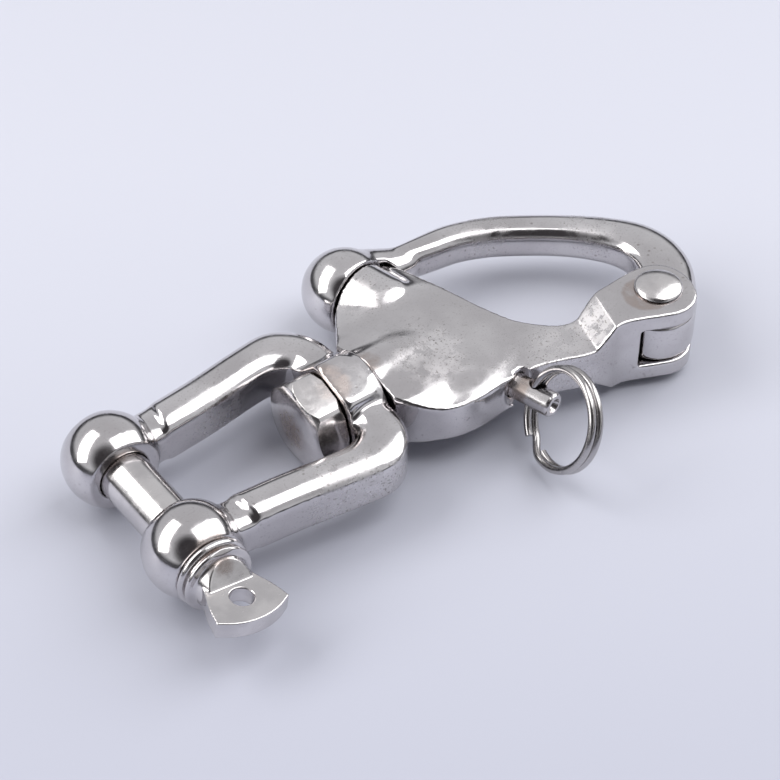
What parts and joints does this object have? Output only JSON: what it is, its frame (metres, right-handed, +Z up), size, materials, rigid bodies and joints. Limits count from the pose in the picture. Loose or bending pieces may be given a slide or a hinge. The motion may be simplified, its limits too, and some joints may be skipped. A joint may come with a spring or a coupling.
{
  "type": "swivel jaw snap shackle",
  "caption": "Cast steel snap shackle: a hinged bow held shut by a sprung plunger, a pull ring, and a swivelling forked jaw with a screw pin.",
  "frame": {"origin": "middle of the footprint, on the surface the shackle lies on", "axes": "+X along the pull, from the jaw pin to the crown of the bow; +Y along the jaw pin from its wing to its end; +Z up from the surface it lies on"},
  "size_m": [0.1282, 0.0714, 0.0207],
  "materials": {
    "cast_steel": "polished cast stainless steel with a fine orange-peel surface",
    "bright_steel": "machined and polished stainless steel",
    "wire_steel": "drawn stainless spring wire"
  },
  "bodies": {
    "body": {"snap_body": "cast_steel", "bow_rivet": "bright_steel", "swivel_bolt": "bright_steel", "plunger_spring": "wire_steel"},
    "jaw": {"jaw": "cast_steel"},
    "pin": {"jaw_pin": "bright_steel"},
    "bow": {"bow": "cast_steel"},
    "plunger": {"plunger": "bright_steel"},
    "ring": {"split_ring": "wire_steel"}
  },
  "joints": [
    {"name": "swivel", "type": "hinge", "parent": "body", "child": "jaw", "pos_m": [-0.01799, 0.00266, 0.0097], "axis": [1, 0, 0], "continuous": true},
    {"name": "pin_withdraw", "type": "slide", "parent": "jaw", "child": "pin", "axis": [0, -1, 0], "range_m": [0, 0.04]},
    {"name": "bow_hinge", "type": "hinge", "parent": "body", "child": "bow", "pos_m": [0.04671, -0.01434, 0.0097], "axis": [0, 0, -1], "range_deg": [0, 120]},
    {"name": "plunger_pull", "type": "slide", "parent": "body", "child": "plunger", "axis": [0.2419, -0.9703, 0], "range_m": [0, 0.0055], "stiffness_N_per_m": 1500, "springref_m": -0.006, "deforming": ["plunger_spring"]},
    {"name": "ring_swing", "type": "hinge", "parent": "plunger", "child": "ring", "pos_m": [0.01533, -0.0167, 0.0097], "axis": [0.4101, 0.1022, 0.9063], "range_deg": [-20, 60]}
  ]
}
